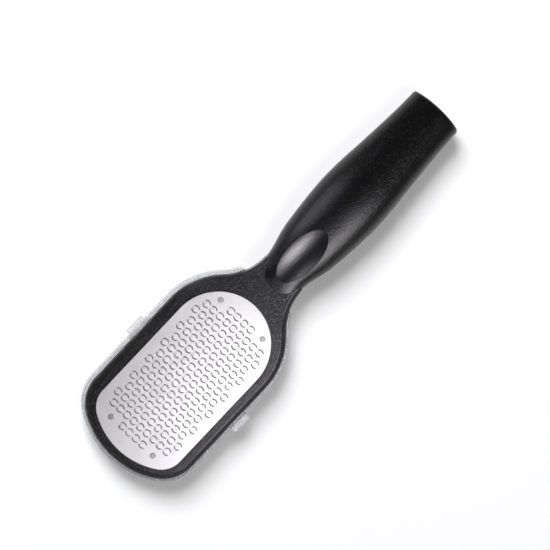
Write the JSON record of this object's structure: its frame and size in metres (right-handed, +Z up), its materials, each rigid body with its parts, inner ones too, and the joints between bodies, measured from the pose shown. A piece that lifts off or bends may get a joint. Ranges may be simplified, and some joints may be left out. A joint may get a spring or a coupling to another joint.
{
  "type": "foot file",
  "caption": "Paddle foot file: steel rasp plate riveted in a black frame, soft swelling grip with a thumb dish, and a frosted dust tray that clips under the head.",
  "frame": {"origin": "on the table, under the middle of the whole file", "axes": "+X along the file from the head to the butt of the grip, +Y across the head to the left latch, +Z up out of the rasp face"},
  "size_m": [0.2316, 0.0728, 0.0235],
  "materials": {
    "frame_plastic": "coarse spark-eroded grain",
    "rasp_steel": "satin",
    "rivet_steel": "dull",
    "soft_grip": "fine matte",
    "thumb_plastic": "fine grain",
    "frosted_plastic": "frosted translucent"
  },
  "bodies": {
    "tray": {"catcher_tray": "frosted_plastic"},
    "file": {"frame_core": "frame_plastic", "rasp_plate": "rasp_steel", "plate_rivets": "rivet_steel", "grip_sleeve": "soft_grip", "thumb_rest": "thumb_plastic"},
    "left_latch": {"left_release_latch": "frosted_plastic"},
    "right_latch": {"right_release_latch": "frosted_plastic"}
  },
  "joints": [
    {"name": "tray_slide", "type": "slide", "parent": "tray", "child": "file", "axis": [0, 0, 1], "range_m": [0, 0.036]},
    {"name": "left_latch_bend", "type": "hinge", "parent": "tray", "child": "left_latch", "pos_m": [-0.06034, 0.03255, 0.0053], "axis": [-1, 0, 0], "range_deg": [0, 12], "stiffness_Nm_per_rad": 0.06},
    {"name": "right_latch_bend", "type": "hinge", "parent": "tray", "child": "right_latch", "pos_m": [-0.06034, -0.03255, 0.0053], "axis": [1, 0, 0], "range_deg": [0, 12], "stiffness_Nm_per_rad": 0.06}
  ]
}
